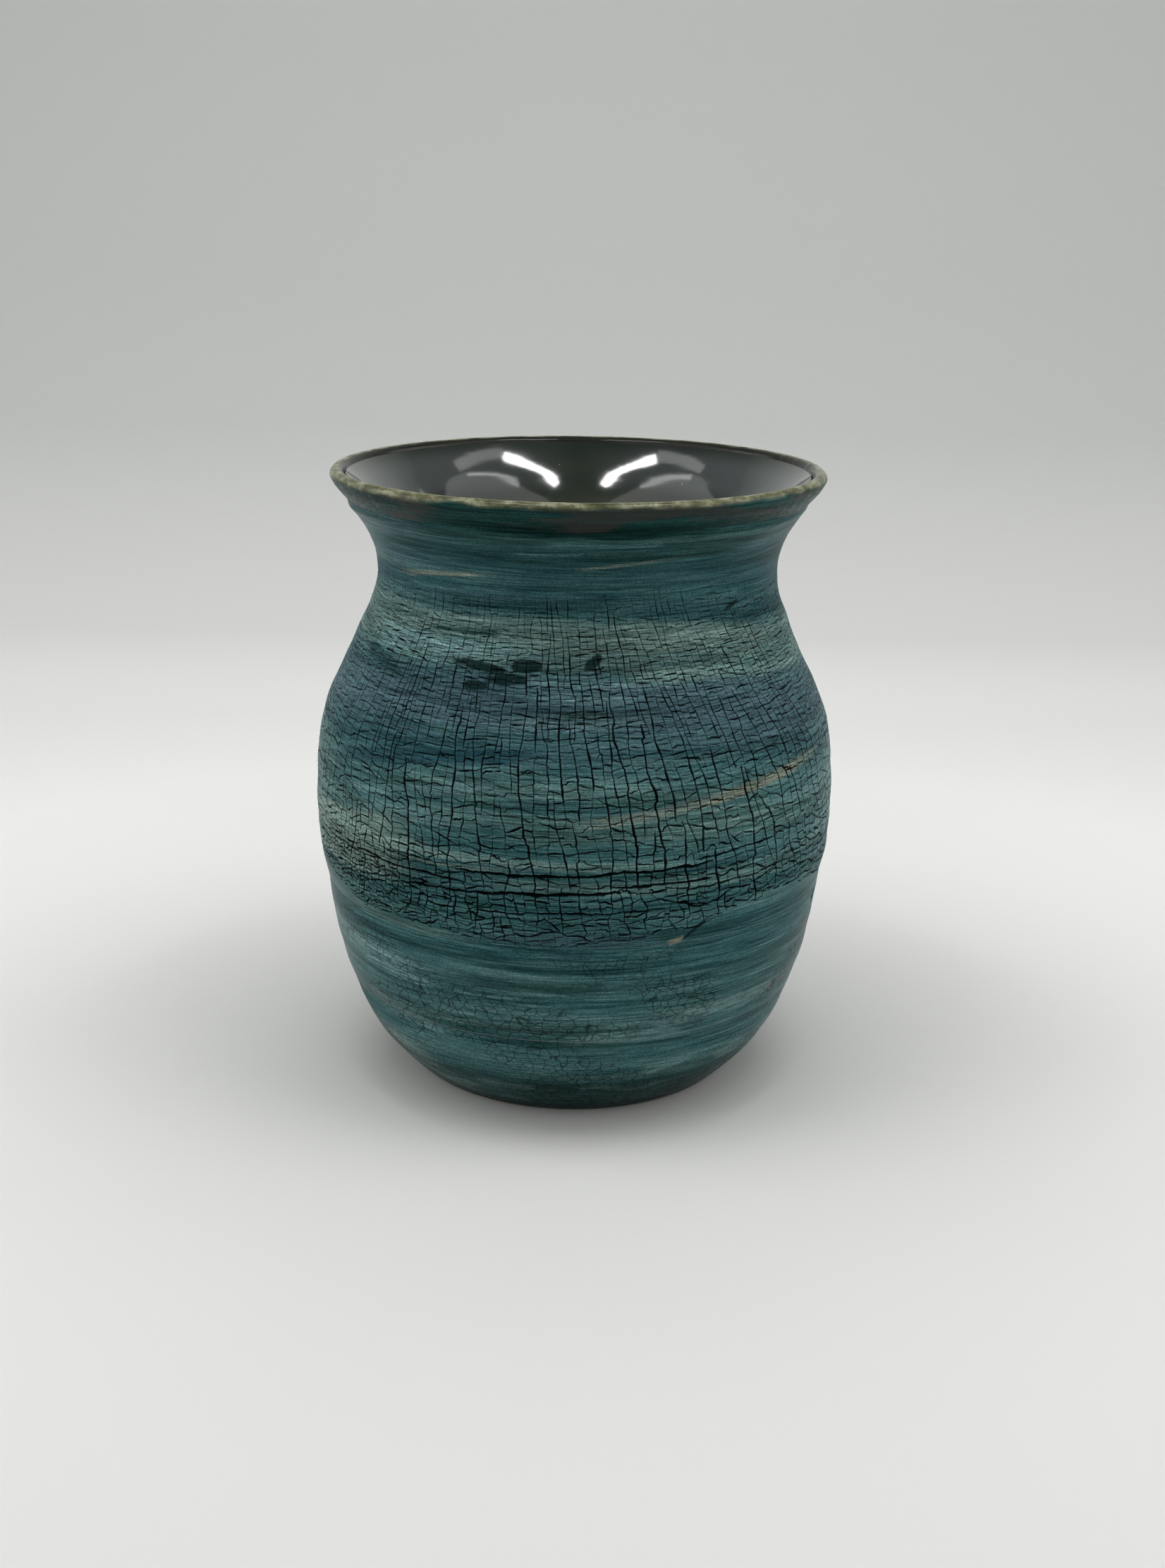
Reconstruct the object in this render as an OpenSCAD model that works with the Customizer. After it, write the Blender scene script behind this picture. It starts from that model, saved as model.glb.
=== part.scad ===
// Stoneware vase, thrown on a wheel: a flared lip, a concave neck, a full belly
// and a small turned foot. Five fired coats lie on the clay: a glossy liner inside,
// an olive band over the lip, a thick crackled slip outside, a brushed glaze on the
// lower body and a glossy band above the foot.
// Origin: the centre of the foot's resting face. +Z is up. Millimetres.

/* [Outline] */
// Height from the resting face to the top of the lip
height = 132.5; // [126:0.5:140]
// Diameter over the flared lip
rim_d = 105; // [99:0.5:111]
// Smallest diameter of the neck, over the slip
neck_d = 84.8; // [80:0.2:90]
// Largest diameter of the belly, over the slip
belly_d = 112.6; // [107:0.2:119]
// Diameter of the foot where it leaves the table
foot_d = 68; // [62:0.5:74]
// Height of the neck's narrowest ring
neck_h = 109.5; // [106:0.5:112]
// Height of the belly's widest ring
belly_h = 66; // [60:0.5:70]

/* [Clay] */
// Thickness of the wall at the belly and the neck
wall = 4.2; // [3.4:0.1:5]
// Thickness of the lip over its glaze
lip = 3; // [2.6:0.1:3.4]
// Thickness of the floor
floor_t = 6; // [5:0.5:8]
// Height over which the floor curves up into the wall
well_h = 18; // [14:1:22]
// Width of the foot ring
foot_ring = 8; // [6:0.5:10]
// Depth of the turned recess inside the foot ring
recess = 1.6; // [1:0.1:2]

/* [Coats] */
// Thickness of the crackled slip
slip_t = 0.9; // [0.7:0.1:1.2]
// Thickness of the glazes
glaze_t = 0.4; // [0.3:0.05:0.5]
// Depth of the lip's glaze band down the outside
rim_out = 5; // [4:0.5:7]
// Depth of the lip's glaze band down the inside
rim_in = 2.5; // [2:0.5:4]
// Height of the lower edge of the crackled slip
slip_low = 44; // [40:1:48]
// Height of the upper edge of the glossy foot band
foot_high = 22; // [18:1:26]
// Height of the dry clay left bare above the table
foot_dry = 2.2; // [1.8:0.1:3]

/* [Hidden] */
$fn = 160;

foot_bevel = 0.7;
slip_taper = 9;
lip_blend = 22;
lip_z = height - lip / 2;
lip_x = rim_d / 2 - lip / 2;
rim_z = height - rim_out;
floor_z = recess + floor_t;

foot_r = foot_d / 2;
belly_r = belly_d / 2 - slip_t;
neck_r = neck_d / 2 - slip_t;
rim_r = rim_d / 2 - glaze_t;

function mix(a, b, t) = a + (b - a) * t;
function ease(t) = let (c = min(max(t, 0), 1)) c * c * (3 - 2 * c);

// Outside of the clay as [height, radius] stations, from the foot to the lip
STATIONS = [
    [0, foot_r],
    [0.12 * belly_h, mix(foot_r, belly_r, 0.37)],
    [0.36 * belly_h, mix(foot_r, belly_r, 0.735)],
    [0.68 * belly_h, mix(foot_r, belly_r, 0.94)],
    [belly_h, belly_r],
    [mix(belly_h, neck_h, 0.32), mix(belly_r, neck_r, 0.12)],
    [mix(belly_h, neck_h, 0.70), mix(belly_r, neck_r, 0.67)],
    [neck_h, neck_r],
    [mix(neck_h, lip_z, 0.46), mix(neck_r, rim_r, 0.2)],
    [mix(neck_h, lip_z, 0.77), mix(neck_r, rim_r, 0.62)],
    [lip_z, rim_r]
];
LAST = len(STATIONS) - 1;

// Slope of the chord above station i, and of the curve at station i
function chord(i) = (STATIONS[i + 1][1] - STATIONS[i][1]) / (STATIONS[i + 1][0] - STATIONS[i][0]);
function span(i) = STATIONS[i + 1][0] - STATIONS[i][0];
function slope(i) =
    i == 0 ? 1.5 * chord(0) - 0.5 * slope(1) :
    i == LAST ? 0 :
    (chord(i - 1) * span(i) + chord(i) * span(i - 1)) / (span(i) + span(i - 1));
function station_below(z, i = LAST - 1) = i == 0 || z >= STATIONS[i][0] ? i : station_below(z, i - 1);

// Outside radius of the clay at height z: a cubic between two stations
function clay_r(z) =
    let (
        i = station_below(z),
        h = span(i),
        t = (z - STATIONS[i][0]) / h,
        low = STATIONS[i][1],
        high = STATIONS[i + 1][1]
    )
    mix(low, high, ease(t)) + h * t * (1 - t) * (slope(i) * (1 - t) - slope(i + 1) * t);

// Inside radius of the clay: the wall thins towards the lip, and the floor is a rounded well
function wall_at(z) = mix(lip - 2 * glaze_t, wall, ease((lip_z - z) / lip_blend));
function well(z) =
    let (t = min(max((z - floor_z) / well_h, 0), 1))
    pow(1 - pow(1 - t, 3), 1 / 3);
function inside_r(z) = (clay_r(z) - wall_at(z)) * well(z);

// The skin is one line of [radius, height] points: up the outside, over the lip and
// down the inside to the middle of the floor. Each stretch leaves out its own last point.
function outside(z0, z1, n) = [for (i = [0:n - 1]) let (z = mix(z0, z1, i / n)) [clay_r(z), z]];
function inside(z0, z1, n) = [for (i = [0:n - 1]) let (z = mix(z0, z1, i / n)) [inside_r(z), z]];
function over_lip(n) = [
    for (i = [0:n - 1])
        let (a = 180 * i / n, r = lip / 2 - glaze_t)
        [lip_x + r * cos(a), lip_z + r * sin(a)]
];
function well_line(n) = [
    for (i = [0:n])
        let (z = floor_z + well_h * pow(1 - i / n, 3))
        [i == n ? 0 : inside_r(z), z]
];

STRETCHES = [
    outside(foot_bevel, foot_dry, 2),
    outside(foot_dry, foot_high, 12),
    outside(foot_high, slip_low, 10),
    outside(slip_low, rim_z, 40),
    outside(rim_z, lip_z, 6),
    over_lip(10),
    inside(lip_z, lip_z - rim_in, 3),
    inside(lip_z - rim_in, floor_z + well_h, 32),
    well_line(12)
];
SKIN = [for (line = STRETCHES) for (p = line) p];
function first(k) = k == 0 ? 0 : first(k - 1) + len(STRETCHES[k - 1]);

// A coat's line: the skin's points pushed out along their normals by a thickness
function out_of(i) =
    let (d = SKIN[min(i + 1, len(SKIN) - 1)] - SKIN[max(i - 1, 0)])
    i == len(SKIN) - 1 ? [0, 1] : [d[1], -d[0]] / norm(d);
function slip_at(z) = mix(glaze_t, slip_t, ease((z - slip_low) / slip_taper));
function coat_at(i, slip) = slip ? slip_at(SKIN[i][1]) : glaze_t;

// A coat from the start of stretch a to the start of stretch b, lying on the clay
module coat(a, b, slip = false) {
    from = first(a);
    to = min(first(b), len(SKIN) - 1);
    under = [for (i = [from:to]) SKIN[i]];
    over = [for (i = [to:-1:from]) SKIN[i] + coat_at(i, slip) * out_of(i)];
    rotate_extrude() polygon(concat(under, over));
}

// The thrown pot: wall, floor and a turned foot ring around a shallow recess
module stoneware_body() {
    color([0.66, 0.56, 0.44])
    rotate_extrude()
    polygon(concat(
        [
            [0, recess],
            [foot_r - foot_ring - recess, recess],
            [foot_r - foot_ring, 0],
            [clay_r(0) - foot_bevel / 2, 0]
        ],
        SKIN
    ));
}

// Glossy dark coat inside, from under the lip to the middle of the floor
module liner_glaze() {
    color([0.17, 0.21, 0.22]) coat(7, 9);
}

// Olive cream band over the lip
module rim_glaze() {
    color([0.63, 0.61, 0.47]) coat(4, 7);
}

// Thick slip on the neck, the shoulder and the belly, which crackled as it dried
module crackle_slip() {
    color([0.38, 0.46, 0.50]) coat(3, 4, slip = true);
}

// Smooth coat brushed round the lower body
module brushed_glaze() {
    color([0.30, 0.43, 0.46]) coat(2, 3);
}

// Glossy green coat above the dry foot
module foot_glaze() {
    color([0.25, 0.41, 0.38]) coat(1, 2);
}

stoneware_body();
liner_glaze();
rim_glaze();
crackle_slip();
brushed_glaze();
foot_glaze();
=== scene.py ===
"""Looks of a thrown stoneware vase: crackled brushed slip outside, glossy liner inside.

Lengths are in millimetres until a mesh is written, which is in metres. An angle round the
vase, called turn, is 0 at the front (-Y) and grows towards the viewer's right (+X).
"""

import math

import bpy
import numpy as np
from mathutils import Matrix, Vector


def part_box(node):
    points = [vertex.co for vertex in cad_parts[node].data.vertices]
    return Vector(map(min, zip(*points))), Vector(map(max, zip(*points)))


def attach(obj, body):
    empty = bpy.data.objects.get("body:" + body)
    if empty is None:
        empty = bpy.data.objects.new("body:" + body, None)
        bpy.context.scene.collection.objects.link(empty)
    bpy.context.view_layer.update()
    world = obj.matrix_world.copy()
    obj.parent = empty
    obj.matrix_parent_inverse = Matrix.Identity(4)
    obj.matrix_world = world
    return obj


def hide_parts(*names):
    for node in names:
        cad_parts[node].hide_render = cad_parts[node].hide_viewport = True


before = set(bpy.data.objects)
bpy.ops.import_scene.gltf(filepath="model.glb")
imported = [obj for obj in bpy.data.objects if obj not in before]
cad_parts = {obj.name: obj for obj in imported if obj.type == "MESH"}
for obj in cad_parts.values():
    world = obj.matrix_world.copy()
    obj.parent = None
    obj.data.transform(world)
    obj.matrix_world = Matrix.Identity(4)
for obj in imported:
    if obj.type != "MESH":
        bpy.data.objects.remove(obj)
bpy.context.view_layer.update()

MM = 0.001

# ---- the pot, read from the frame


def mm(vector):
    return [value / MM for value in vector]


FOOT_HIGH = mm(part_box("foot_glaze")[1])[2]
SLIP_LOW = mm(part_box("brushed_glaze")[1])[2]
SLIP_TUCK = 0.5
SLIP_HIGH = mm(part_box("crackle_slip")[1])[2] - SLIP_TUCK
TOP = mm(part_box("rim_glaze")[1])[2]
RIM_RADIUS = mm(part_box("rim_glaze")[1])[0]
SLIP_THICK = 0.9
GLAZE_THICK = 0.4
SMOOTHING = 1.6

COLUMNS = 2048
RIM_COLUMNS = 900
SMOOTH_COLUMNS = 400
ROW_STEP = 0.18
FULL_TURN = 2 * math.pi


def ray(node, start, direction):
    """Where a ray first meets a CAD node, in millimetres, or None."""
    hit, place, _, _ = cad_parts[node].ray_cast(Vector(start) * MM, Vector(direction))
    return mm(place) if hit else None


def smoothed(values, step, width=SMOOTHING):
    """Values along a line with even steps, rounded over a width in millimetres."""
    reach = int(3 * width / step)
    kernel = np.exp(-0.5 * (np.arange(-reach, reach + 1) * step / width) ** 2)
    kernel /= kernel.sum()
    ahead = 2 * values[0] - values[reach:0:-1]
    after = 2 * values[-1] - values[-2 : -reach - 2 : -1]
    return np.convolve(np.concatenate([ahead, values, after]), kernel, "valid")


def traced(node, low, high, outside):
    """Heights and radii of a node's outside or inside between two heights."""
    heights = np.arange(low, high, 0.5)
    start = 100 if outside else 0
    radii = [ray(node, (0, -start, z), (0, 1 if outside else -1, 0))[1] for z in heights]
    return heights, smoothed(np.abs(np.array(radii)), 0.5)


LIP_THICK = 3.0
LIP_Z = TOP - LIP_THICK / 2
FLOOR_Z = ray("liner_glaze", (0, 0, 60), (0, 0, -1))[2]
CLAY_Z, CLAY_R = traced("stoneware_body", 1.0, LIP_Z - 0.3, True)
LINER_Z, LINER_R = traced("liner_glaze", FLOOR_Z + 0.6, LIP_Z - 2.7, False)
LIP_CENTRE = RIM_RADIUS - LIP_THICK / 2
LIP_ROLL = 140
FLARE_DEPTH = 10.0
FLARE_Z = LIP_Z - FLARE_DEPTH
MOUTH_TOP = LIP_Z + LIP_THICK / 2 * math.sin(math.radians(LIP_ROLL))
MOUTH_Z = np.arange(MOUTH_TOP, FLOOR_Z + 2.0, -0.25)


def mouth_line():
    """Radius of the free surface inside at each of MOUTH_Z. The flare opens steadily from
    FLARE_Z until it meets the roll of the lip."""
    top = LIP_CENTRE + LIP_THICK / 2 * math.cos(math.radians(LIP_ROLL))
    low, before = np.interp((FLARE_Z, FLARE_Z - 1), LINER_Z, LINER_R)
    rise = np.clip(MOUTH_Z - FLARE_Z, 0, None)
    tall = MOUTH_TOP - FLARE_Z
    opening = (top - low - (low - before) * tall) / tall**2
    flare = low + (low - before) * rise + opening * rise**2
    return np.where(rise > 0, flare, np.interp(MOUTH_Z, LINER_Z, LINER_R))


MOUTH_R = mouth_line()


def clay_radius(height):
    """Radius of the outside of the clay."""
    return np.interp(height, CLAY_Z, CLAY_R)


# ---- fields on the surface


def ease(t):
    t = np.clip(t, 0, 1)
    return t * t * (3 - 2 * t)


def band(value, low, high, soft):
    """1 between low and high, fading to 0 over soft."""
    return ease((value - low) / soft + 0.5) * ease((high - value) / soft + 0.5)


def cloud(shape, cells, seed):
    """A smooth random field from -1 to 1, seamless round the vase."""
    lattice = np.random.default_rng(seed).uniform(-1, 1, (cells[0] + 2, cells[1]))
    rows = np.linspace(0, cells[0], shape[0])
    cols = np.arange(shape[1]) * cells[1] / shape[1]
    i, j = np.floor(rows).astype(int), np.floor(cols).astype(int)
    f, g = ease(rows - i)[:, None], ease(cols - j)[None, :]
    near, far = j % cells[1], (j + 1) % cells[1]
    low = lattice[i][:, near] * (1 - g) + lattice[i][:, far] * g
    high = lattice[i + 1][:, near] * (1 - g) + lattice[i + 1][:, far] * g
    return low * (1 - f) + high * f


def clouds(shape, cells, seed, octaves=3, fade=0.55):
    """Several clouds, each finer and weaker than the last."""
    total, weight, size = 0, 0, 1.0
    for octave in range(octaves):
        finer = tuple(int(c * 2**octave) for c in cells)
        total = total + size * cloud(shape, finer, seed + octave)
        weight += size
        size *= fade
    return total / weight


def wobble(turn, height):
    """How far the thrown wall strays from a true circle, in millimetres."""
    rise = height / TOP
    lean = 0.30 * np.sin(turn - 0.7) * (0.3 + rise)
    lean = lean + 0.55 * np.exp(-(((height - 98) / 12) ** 2)) * np.clip(-np.sin(turn), 0, 1) ** 2
    lean = lean + 0.45 * np.exp(-(((height - 106) / 9) ** 2)) * np.clip(np.sin(turn), 0, 1) ** 2
    oval = 0.16 * np.sin(2 * turn + 1.1 + 1.5 * rise)
    rings = 0.05 * np.sin(FULL_TURN * height / 7.3 + turn) + 0.04 * np.sin(height / 1.9 - turn)
    return lean + oval + rings * ease((119 - height) / 8)


# ---- meshes of revolution


def resampled(points, step):
    """A line of [radius, height] points with even steps along it."""
    points = np.asarray(points, float)
    along = np.concatenate([[0], np.cumsum(np.hypot(*np.diff(points, axis=0).T))])
    count = max(2, int(round(along[-1] / step)) + 1)
    even = np.linspace(0, along[-1], count)
    return np.stack([np.interp(even, along, points[:, k]) for k in (0, 1)], 1)


def line_normals(line):
    """Unit normals on the free side of a line that runs up the outside."""
    d = np.gradient(line, axis=0)
    d /= np.hypot(d[:, 0], d[:, 1])[:, None]
    return np.stack([d[:, 1], -d[:, 0]], 1)


def placed(name, data):
    """A new object in the scene."""
    thing = bpy.data.objects.new(name, data)
    bpy.context.scene.collection.objects.link(thing)
    return thing


def turns(columns):
    return np.arange(columns) * FULL_TURN / columns


def revolved(name, line, push, rises=None, backing=None):
    """A mesh made by turning a line round the vase's axis.

    line: [radius, height] rows. push: how far each point moves along the normal, rows by
    columns. rises: how far each point moves up. backing: a coarser line behind the first,
    from its last row back to its first, which closes the mesh into a solid.
    """
    rows, columns = push.shape
    turn = turns(columns)[None, :]
    normal = line_normals(line)
    radius = line[:, 0, None] + normal[:, 0, None] * push
    height = line[:, 1, None] + normal[:, 1, None] * push
    if rises is not None:
        height = height + rises
    if backing is not None:
        radius = np.concatenate([radius, np.repeat(backing[:, 0, None], columns, 1)])
        height = np.concatenate([height, np.repeat(backing[:, 1, None], columns, 1)])
    radius = radius + wobble(turn, height) * np.clip(radius / 10, 0, 1)
    places = np.stack([radius * np.sin(turn), -radius * np.cos(turn), height], -1) * MM
    total = len(radius)
    closed = backing is not None
    a = np.arange(total if closed else total - 1)[:, None] * columns
    b = (a + columns) % (total * columns)
    i = np.arange(columns)[None, :]
    j = (i + 1) % columns
    quads = np.stack([a + i, a + j, b + j, b + i], -1).reshape(-1, 4)
    mesh = bpy.data.meshes.new(name)
    mesh.vertices.add(total * columns)
    mesh.vertices.foreach_set("co", places.reshape(-1).astype(np.float32))
    mesh.loops.add(quads.size)
    mesh.loops.foreach_set("vertex_index", quads.reshape(-1).astype(np.int32))
    mesh.polygons.add(len(quads))
    mesh.polygons.foreach_set("loop_start", np.arange(0, quads.size, 4, dtype=np.int32))
    mesh.polygons.foreach_set("loop_total", np.full(len(quads), 4, np.int32))
    smooth = np.arange(len(quads)) < (rows - 1) * columns
    mesh.polygons.foreach_set("use_smooth", smooth)
    mesh.update(calc_edges=True)
    mesh.validate()
    return placed(name, mesh)


def paint_value(piece, name, field):
    """Stores a rows by columns field on the piece's points, 0 on any backing."""
    values = np.zeros(len(piece.data.vertices), np.float32)
    values[: field.size] = field.reshape(-1)
    layer = piece.data.attributes.new(name, "FLOAT", "POINT")
    layer.data.foreach_set("value", values)


def paint_colour(piece, name, fields):
    """Stores three fields as the channels of one colour attribute."""
    values = np.zeros((len(piece.data.vertices), 4), np.float32)
    for k, field in enumerate(fields):
        values[: field.size, k] = field.reshape(-1)
    values[:, 3] = 1
    layer = piece.data.attributes.new(name, "FLOAT_COLOR", "POINT")
    layer.data.foreach_set("color", values.reshape(-1))


# ---- cracks in the slip

CRACK_SEED = 7
CELL = 0.2
AROUND = 1750
TYPICAL_RADIUS = 55
GROW_STEP = 0.3
JOG = 0.32
JOG_CHANCE = 0.09
UPRIGHT, LEVEL = "upright", "level"


class Cracks:
    """Crack lines on the unrolled wall. A place is (turn, v): v runs up along the wall from
    the lower edge of the slip, in millimetres. A raster remembers which cells are cracked."""

    def __init__(self, line):
        self.length = (len(line) - 1) * ROW_STEP
        self.rng = np.random.default_rng(CRACK_SEED)
        self.rows = int(self.length / CELL) + 2
        along = np.arange(len(line)) * ROW_STEP
        cells = np.arange(self.rows) * CELL
        self.radii = np.interp(cells, along, line[:, 0]).tolist()
        self.heights = np.interp(cells, along, line[:, 1]).tolist()
        self.taken = {kind: [[0] * AROUND for _ in range(self.rows)] for kind in (UPRIGHT, LEVEL)}
        self.drawn = []

    def row(self, v):
        return min(max(int(v / CELL + 0.5), 0), self.rows - 1)

    def radius(self, v):
        return self.radii[self.row(v)]

    def height(self, v):
        return self.heights[self.row(v)]

    def at(self, height):
        """v of a height on the wall."""
        return float(np.interp(height, self.heights, np.arange(self.rows) * CELL))

    def column(self, turn):
        return int(turn / FULL_TURN * AROUND + 0.5) % AROUND

    def near(self, kind, turn, v, across, along):
        """Whether a crack of one kind lies within across (round) and along (up) of a place."""
        row, column = self.row(v), self.column(turn)
        width = int(across / (FULL_TURN * self.radii[row] / AROUND))
        tall = int(along / CELL)
        taken = self.taken[kind]
        for i in range(max(0, row - tall), min(self.rows, row + tall + 1)):
            cells = taken[i]
            for j in range(column - width, column + width + 1):
                if cells[j % AROUND]:
                    return True
        return False

    def met(self, turn, v):
        """The place of a crack that touches this place, or None."""
        row, column = self.row(v), self.column(turn)
        for i, j in ((0, 0), (0, 1), (0, -1), (1, 0), (-1, 0)):
            at = min(max(row + i, 0), self.rows - 1)
            if any(self.taken[kind][at][(column + j) % AROUND] for kind in (UPRIGHT, LEVEL)):
                shift = column + j - turn / FULL_TURN * AROUND
                shift = (shift + AROUND / 2) % AROUND - AROUND / 2
                return turn + shift * FULL_TURN / AROUND, at * CELL
        return None

    def mark(self, kind, path):
        taken = self.taken[kind]
        for (turn0, v0), (turn1, v1) in zip(path, path[1:]):
            count = 2 + int(max(abs(turn1 - turn0) * TYPICAL_RADIUS, abs(v1 - v0)) / CELL)
            for k in range(count):
                turn, v = turn0 + (turn1 - turn0) * k / count, v0 + (v1 - v0) * k / count
                taken[self.row(v)][self.column(turn)] = 1

    def keep(self, kind, path, widths, strength):
        self.mark(kind, path)
        self.drawn.append((path, widths, strength))


def zone(height, stops):
    """A value that goes from stop to stop with height."""
    for (low, a), (high, b) in zip(stops, stops[1:]):
        if height <= high:
            return a + (b - a) * max(0.0, (height - low) / (high - low))
    return stops[-1][1]


# Lists of (height, value) for the gaps between cracks, their widths, how far they run and how
# much their heading strays
MAIN_GAP = [(44, 7.0), (60, 6.0), (84, 5.6), (98, 4.6)]
MAIN_WIDTH = [(44, 0.18), (52, 0.28), (64, 0.36), (80, 0.34), (92, 0.26), (99, 0.20), (106, 0.16)]
UPRIGHT_GAP = [(44, 2.6), (54, 2.9), (64, 3.4), (80, 3.1), (88, 2.4), (98, 2.1), (108, 1.8), (118, 2.0)]
UPRIGHT_WIDTH = [(44, 0.19), (52, 0.24), (62, 0.23), (84, 0.22), (98, 0.19), (108, 0.15), (118, 0.10)]
LEVEL_GAP = [(44, 3.0), (52, 3.2), (62, 5.0), (70, 9.0)]
LEVEL_WIDTH = [(44, 0.24), (52, 0.38), (62, 0.28)]
RUNG_GAP = [(44, 1.7), (54, 2.0), (62, 2.6), (76, 2.8), (86, 1.9), (96, 1.6), (106, 1.5), (118, 1.7)]
RUNG_WIDTH = [(44, 0.24), (54, 0.31), (64, 0.25), (84, 0.20), (98, 0.20), (118, 0.12)]
HAIR_GAP = [(44, 1.6), (62, 2.2), (78, 1.3), (84, 0.7), (97, 0.7), (104, 1.0), (118, 1.2)]
HAIR_WIDTH = [(44, 0.05), (78, 0.06), (86, 0.09), (97, 0.08), (118, 0.05)]
MAIN_RUN = [(44, 12), (60, 20), (84, 26), (98, 12)]
UPRIGHT_RUN = [(44, 6), (54, 10), (64, 20), (90, 24), (104, 16), (118, 8)]
SPREAD = [(44, 0.30), (54, 0.26), (62, 0.19), (72, 0.14), (90, 0.09), (118, 0.09)]
LEVEL_RUN = 12
RUNG_SPREAD = [(44, 0.24), (56, 0.22), (66, 0.26), (80, 0.20), (90, 0.12), (118, 0.10)]

# Lower edge of the crackle: (turn in degrees, height), once round the vase
CRACK_FLOOR = [
    (-180, 49.5), (-150, 47.2), (-118, 50.0), (-90, 47.6), (-67, 49.0), (-56, 46.6),
    (-41, 46.0), (-26, 44.8), (-9, 44.3), (9, 44.8), (23, 47.0), (38, 50.2),
    (56, 50.8), (84, 48.0), (118, 50.6), (150, 47.4), (180, 49.5),
]


def crack_floor(turn):
    """Height of the lower edge of the crackle, which wanders round the vase."""
    degrees = (math.degrees(turn) + 180) % 360 - 180
    return zone(degrees, CRACK_FLOOR) + 0.5 * math.sin(9 * turn) + 0.3 * math.sin(23 * turn)


def crack_ceiling(turn, sin=math.sin):
    """Height of the upper edge of the crackle."""
    return 116.5 + 1.5 * sin(turn + 2.0) + 1.0 * sin(3 * turn)


def crowding(turn, height):
    """How much smaller the plates are low down on two sides of the vase."""
    side = max(math.cos(turn + 0.95), math.cos(turn - 2.5)) ** 9
    return 1 - 0.45 * max(side, 0) * min(max((66 - height) / 8, 0), 1)


def lean_of(turn, height):
    """How far round an upright crack runs for each step down."""
    return 0.05 + 0.23 * math.sin(turn + 0.3) + 0.04 * math.sin(3 * turn + height / 19)


def grown(cracks, kind, start, gaps, spread, reach, crossings):
    """A crack as a list of places, grown both ways from one place until it meets another."""
    rng = cracks.rng
    slant = rng.normal(0, (0.25 if kind == UPRIGHT else 0.5) * spread)
    halves = []
    for sense in (1, -1):
        turn, v = start
        half, heading, left, wait = [], rng.normal(0, spread), crossings, 2
        count = int(reach * rng.uniform(0.4, 1.0) / GROW_STEP) + 1
        kicks = rng.normal(0, 0.5 * spread, count).tolist()
        jogs = (rng.normal(0, JOG, count) * (rng.random(count) < JOG_CHANCE)).tolist()
        for kick, jog in zip(kicks, jogs):
            heading = 0.84 * heading + kick
            bend = slant + heading
            radius, height = cracks.radius(v), cracks.height(v)
            jog *= min(1.0, 4 * spread)
            if kind == UPRIGHT:
                turn += (sense * (bend - lean_of(turn, height)) * GROW_STEP + jog) / radius
                v += sense * GROW_STEP
            else:
                turn += sense * GROW_STEP / radius
                v += sense * bend * GROW_STEP + jog
            height = cracks.height(v)
            if not crack_floor(turn) < height < crack_ceiling(turn) or not 0 < v < cracks.length:
                break
            wait -= 1
            joint = cracks.met(turn, v) if wait <= 0 else None
            if joint and left <= 0:
                half.append(joint)
                break
            half.append((turn, v))
            if joint:
                left -= 1
                wait = 4
            elif kind == UPRIGHT and cracks.near(UPRIGHT, turn, v, 0.28 * zone(height, gaps), 0):
                break
        halves.append(half)
    return halves[0][::-1] + [start] + halves[1]


def grow_family(cracks, kind, gaps, widths, spreads, runs, tries, share, crossings, strengths,
                low=0, high=200):
    """Cracks of one kind all over the slip, each started where none is near."""
    rng = cracks.rng
    places = np.stack([rng.uniform(0, FULL_TURN, tries), rng.uniform(0, cracks.length, tries)], 1)
    for turn, v in places.tolist():
        height = cracks.height(v)
        if not max(crack_floor(turn), low) < height < min(crack_ceiling(turn), high):
            continue
        clear = share * zone(height, gaps) * crowding(turn, height)
        window = (clear, 0.3) if kind == UPRIGHT else (0.3, clear)
        if cracks.near(kind, turn, v, *window):
            continue
        reach = zone(height, runs) if runs else LEVEL_RUN
        path = grown(cracks, kind, (turn, v), gaps, zone(height, spreads), reach, rng.poisson(crossings))
        if len(path) > 3:
            cracks.keep(kind, path, widths, rng.uniform(*strengths))


def crackle(cracks):
    """The whole network: long level cracks, then uprights, then the rungs between them."""
    long_cracks(cracks)
    for family in FAMILIES:
        grow_family(cracks, *family)


# Kind, gaps, widths, spread, run, tries, share of the gap kept clear, how many cracks it
# crosses, strengths, and the heights between which it grows
FAMILIES = [
    (UPRIGHT, MAIN_GAP, MAIN_WIDTH, SPREAD, MAIN_RUN, 9000, 0.8, 3.0, (0.7, 1.15), 47, 102),
    (UPRIGHT, UPRIGHT_GAP, UPRIGHT_WIDTH, SPREAD, UPRIGHT_RUN, 40000, 0.66, 0.5, (0.6, 1.2)),
    (LEVEL, LEVEL_GAP, LEVEL_WIDTH, RUNG_SPREAD, None, 6000, 0.7, 0.6, (0.6, 1.2), 40, 66),
    (LEVEL, RUNG_GAP, RUNG_WIDTH, RUNG_SPREAD, None, 90000, 0.54, 0.12, (0.75, 1.25)),
    (LEVEL, HAIR_GAP, HAIR_WIDTH, RUNG_SPREAD, None, 50000, 0.7, 1.0, (0.6, 1.3), 50, 112),
]

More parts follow.
